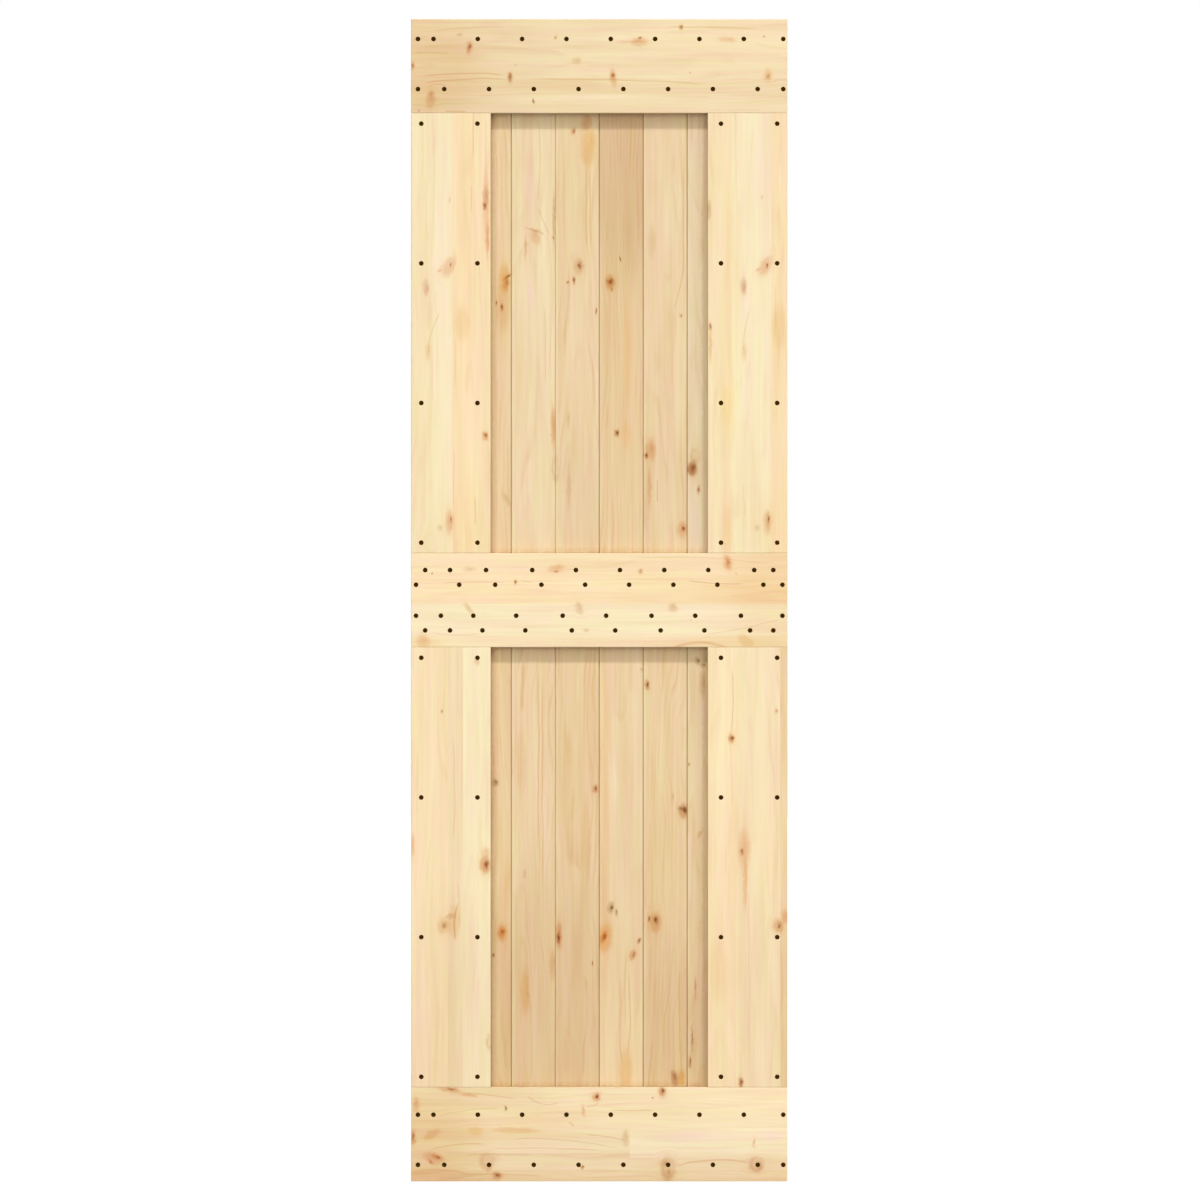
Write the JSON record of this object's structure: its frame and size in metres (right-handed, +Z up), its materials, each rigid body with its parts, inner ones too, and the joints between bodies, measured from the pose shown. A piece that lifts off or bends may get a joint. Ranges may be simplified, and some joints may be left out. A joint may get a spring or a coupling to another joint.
{
  "type": "interior door leaf",
  "caption": "Solid pine interior door leaf: wide rails and stiles on a core of tongue-and-groove boards that shows in two panels, hung by its top edge.",
  "frame": {"origin": "centre of the leaf's top edge, half-way through its thickness, where it hangs from a track", "axes": "+X along the leaf's width, to the right as seen from the front; +Y from the front face to the back face; +Z up, along the leaf's height"},
  "size_m": [0.68, 0.05, 2.1],
  "materials": {
    "frame_pine": "planed, untreated pine",
    "core_pine": "planed, untreated pine",
    "screw_steel": "dark bronze coating on the countersunk screws, which are in the visual model"
  },
  "bodies": {
    "root": {"front_top_rail": "frame_pine", "front_middle_rail": "frame_pine", "front_bottom_rail": "frame_pine", "back_top_rail": "frame_pine", "back_middle_rail": "frame_pine", "back_bottom_rail": "frame_pine", "front_upper_left_stile": "frame_pine", "front_upper_right_stile": "frame_pine", "front_lower_left_stile": "frame_pine", "front_lower_right_stile": "frame_pine", "back_upper_left_stile": "frame_pine", "back_upper_right_stile": "frame_pine", "back_lower_left_stile": "frame_pine", "back_lower_right_stile": "frame_pine", "upper_board_01": "core_pine", "upper_board_02": "core_pine", "upper_board_03": "core_pine", "upper_board_04": "core_pine", "upper_board_05": "core_pine", "upper_board_06": "core_pine", "upper_board_07": "core_pine", "upper_board_08": "core_pine", "upper_board_09": "core_pine", "upper_board_10": "core_pine", "lower_board_01": "core_pine", "lower_board_02": "core_pine", "lower_board_03": "core_pine", "lower_board_04": "core_pine", "lower_board_05": "core_pine", "lower_board_06": "core_pine", "lower_board_07": "core_pine", "lower_board_08": "core_pine", "lower_board_09": "core_pine", "lower_board_10": "core_pine"}
  },
  "joints": []
}
